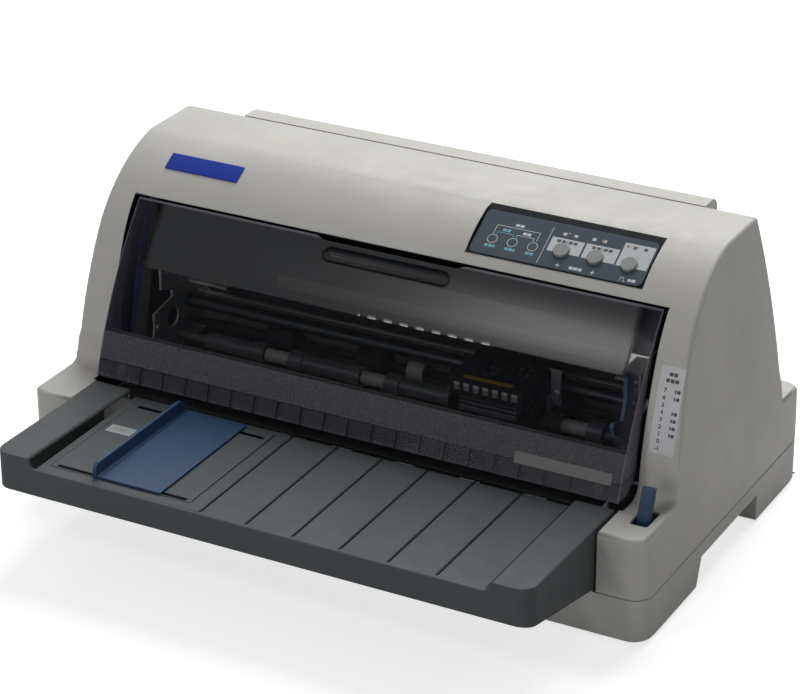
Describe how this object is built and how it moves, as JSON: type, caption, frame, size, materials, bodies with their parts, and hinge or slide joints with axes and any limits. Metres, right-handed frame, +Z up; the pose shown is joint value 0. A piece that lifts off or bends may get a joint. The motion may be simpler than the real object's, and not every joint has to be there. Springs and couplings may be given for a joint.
{
  "type": "flatbed dot matrix printer",
  "caption": "Flatbed impact printer with a curved smoked cover, front paper tray with sliding edge guide, button panel, thickness lever and a head on a guide shaft.",
  "frame": {"origin": "middle of the footprint on the standing surface, under the rubber feet, halfway from the tray's front edge to the back wall", "axes": "+X to the printer's right seen from the front, -Y to the front where paper goes in, +Z up"},
  "size_m": [0.48, 0.368, 0.2285],
  "materials": {
    "case_plastic": "fine satin",
    "base_plastic": "fine satin",
    "foot_rubber": "matte",
    "badge_blue": "satin",
    "panel_dark": "satin film",
    "light_pipe": "clear",
    "button_grey": "satin",
    "smoked_cover": "smoked, part frosted",
    "white_plastic": "smooth",
    "tray_plastic": "fine grain",
    "lever_blue": "fine grain",
    "light_blue": "smooth",
    "sheet_steel": "zinc plated",
    "dark_plastic": "fine grain",
    "shaft_steel": "ground",
    "dark_steel": "ground and oiled",
    "roller_rubber": "matte",
    "gear_plastic": "smooth",
    "pinion_brass": "machined",
    "motor_metal": "satin",
    "grey_roller": "satin",
    "head_metal": "black anodised",
    "board_green": "varnished"
  },
  "bodies": {
    "case": {"lower_case": "base_plastic", "upper_case": "case_plastic", "rear_hood": "case_plastic", "rubber_feet": "foot_rubber", "badge_plate": "badge_blue", "panel_plate": "panel_dark", "panel_lights": "light_pipe", "hinge_bushes": "white_plastic", "front_tray": "tray_plastic", "guide_bed": "tray_plastic", "lever_bracket": "sheet_steel", "base_frame": "sheet_steel", "side_frame_left": "sheet_steel", "side_frame_right": "sheet_steel", "paper_guide": "dark_plastic", "feed_motor": "motor_metal", "shaft_support": "white_plastic", "rear_rail": "sheet_steel", "guide_shaft": "dark_steel", "drive_belt": "roller_rubber", "carriage_motor": "motor_metal", "main_board": "board_green", "power_supply": "sheet_steel", "power_inlet": "dark_plastic", "parallel_port": "sheet_steel", "usb_port": "sheet_steel"},
    "cover": {"front_cover": "smoked_cover"},
    "carriage": {"carriage_frame": "dark_plastic", "print_head": "head_metal", "head_cover": "dark_plastic", "head_bracket": "sheet_steel"},
    "drive_pulley_wheel": {"drive_pulley": "gear_plastic"},
    "return_pulley_wheel": {"return_pulley": "gear_plastic"},
    "platen": {"platen_shaft": "shaft_steel", "platen_rubber": "roller_rubber", "gear_platen": "gear_plastic"},
    "front_feed": {"front_shaft": "shaft_steel", "front_rollers": "roller_rubber", "gear_front": "gear_plastic"},
    "rear_feed": {"rear_shaft": "shaft_steel", "rear_rollers": "roller_rubber", "gear_rear": "gear_plastic"},
    "exit_feed": {"exit_shaft": "shaft_steel", "exit_rollers": "roller_rubber", "gear_exit": "gear_plastic"},
    "idler_1": {"idler_front": "gear_plastic"},
    "idler_2": {"idler_middle": "gear_plastic"},
    "idler_3": {"idler_back": "gear_plastic"},
    "pinion": {"feed_pinion": "pinion_brass"},
    "upper_front": {"pinch_front": "grey_roller"},
    "upper_middle": {"pinch_middle": "grey_roller"},
    "upper_back": {"pinch_back": "roller_rubber"},
    "pause_button": {"button_pause": "button_grey"},
    "load_button": {"button_load": "button_grey"},
    "feed_button": {"button_feed": "button_grey"},
    "lever": {"thickness_lever": "lever_blue"},
    "paper_edge_guide": {"edge_guide": "lever_blue"},
    "paper_release": {"release_lever": "light_blue"},
    "mains_switch": {"power_switch": "dark_plastic"}
  },
  "joints": [
    {"name": "cover_hinge", "type": "hinge", "parent": "case", "child": "cover", "pos_m": [0, -0.0456, 0.0859], "axis": [1, 0, 0], "range_deg": [0, 85]},
    {"name": "carriage_slide", "type": "slide", "parent": "case", "child": "carriage", "axis": [1, 0, 0], "range_m": [-0.222, 0.058]},
    {"name": "drive_pulley_spin", "type": "hinge", "parent": "case", "child": "drive_pulley_wheel", "pos_m": [-0.172, 0.062, 0.1145], "axis": [0, 0, 1], "continuous": true},
    {"name": "return_pulley_spin", "type": "hinge", "parent": "case", "child": "return_pulley_wheel", "pos_m": [0.172, 0.062, 0.1145], "axis": [0, 0, 1], "continuous": true},
    {"name": "platen_spin", "type": "hinge", "parent": "case", "child": "platen", "pos_m": [0, 0.006, 0.0655], "axis": [1, 0, 0], "continuous": true},
    {"name": "front_feed_spin", "type": "hinge", "parent": "case", "child": "front_feed", "pos_m": [0, -0.018, 0.0655], "axis": [1, 0, 0], "continuous": true},
    {"name": "rear_feed_spin", "type": "hinge", "parent": "case", "child": "rear_feed", "pos_m": [0, 0.03, 0.0655], "axis": [1, 0, 0], "continuous": true},
    {"name": "exit_feed_spin", "type": "hinge", "parent": "case", "child": "exit_feed", "pos_m": [0, 0.054, 0.0655], "axis": [1, 0, 0], "continuous": true},
    {"name": "idler_1_spin", "type": "hinge", "parent": "case", "child": "idler_1", "pos_m": [-0.194, -0.006, 0.05208], "axis": [1, 0, 0], "continuous": true},
    {"name": "idler_2_spin", "type": "hinge", "parent": "case", "child": "idler_2", "pos_m": [-0.194, 0.018, 0.05208], "axis": [1, 0, 0], "continuous": true},
    {"name": "idler_3_spin", "type": "hinge", "parent": "case", "child": "idler_3", "pos_m": [-0.194, 0.042, 0.05208], "axis": [1, 0, 0], "continuous": true},
    {"name": "pinion_spin", "type": "hinge", "parent": "case", "child": "pinion", "pos_m": [-0.194, 0.03196, 0.04094], "axis": [1, 0, 0], "continuous": true},
    {"name": "upper_front_spin", "type": "hinge", "parent": "case", "child": "upper_front", "pos_m": [0, -0.018, 0.0831], "axis": [1, 0, 0], "continuous": true},
    {"name": "upper_middle_spin", "type": "hinge", "parent": "case", "child": "upper_middle", "pos_m": [0, 0.03, 0.0831], "axis": [1, 0, 0], "continuous": true},
    {"name": "upper_back_spin", "type": "hinge", "parent": "case", "child": "upper_back", "pos_m": [0, 0.054, 0.0849], "axis": [1, 0, 0], "continuous": true},
    {"name": "pause_press", "type": "slide", "parent": "case", "child": "pause_button", "axis": [0, 0.4985, -0.8669], "range_m": [0, 0.0012], "stiffness_N_per_m": 250, "springref_m": -0.0008},
    {"name": "load_press", "type": "slide", "parent": "case", "child": "load_button", "axis": [0, 0.4985, -0.8669], "range_m": [0, 0.0012], "stiffness_N_per_m": 250, "springref_m": -0.0008},
    {"name": "feed_press", "type": "slide", "parent": "case", "child": "feed_button", "axis": [0, 0.4985, -0.8669], "range_m": [0, 0.0012], "stiffness_N_per_m": 250, "springref_m": -0.0008},
    {"name": "thickness_lever_turn", "type": "hinge", "parent": "case", "child": "lever", "pos_m": [0.2242, -0.0575, 0.0445], "axis": [1, 0, 0], "range_deg": [-10, 10]},
    {"name": "edge_guide_slide", "type": "slide", "parent": "case", "child": "paper_edge_guide", "axis": [1, 0, 0], "range_m": [-0.028, 0.014]},
    {"name": "paper_release_turn", "type": "hinge", "parent": "case", "child": "paper_release", "pos_m": [0.1835, 0.004, 0.0955], "axis": [1, 0, 0], "range_deg": [-18, 10]},
    {"name": "mains_switch_turn", "type": "hinge", "parent": "case", "child": "mains_switch", "pos_m": [-0.161, 0.174, 0.05375], "axis": [1, 0, 0], "range_deg": [0, 12]}
  ],
  "couplings": [
    {"joint": "drive_pulley_spin", "follows": "carriage_slide", "rad_per_m": 125},
    {"joint": "return_pulley_spin", "follows": "carriage_slide", "rad_per_m": 125},
    {"joint": "front_feed_spin", "follows": "platen_spin", "ratio": 1},
    {"joint": "rear_feed_spin", "follows": "platen_spin", "ratio": 1},
    {"joint": "exit_feed_spin", "follows": "platen_spin", "ratio": 1},
    {"joint": "idler_1_spin", "follows": "platen_spin", "ratio": -1},
    {"joint": "idler_2_spin", "follows": "platen_spin", "ratio": -1},
    {"joint": "idler_3_spin", "follows": "platen_spin", "ratio": -1},
    {"joint": "pinion_spin", "follows": "platen_spin", "ratio": 1.5}
  ]
}
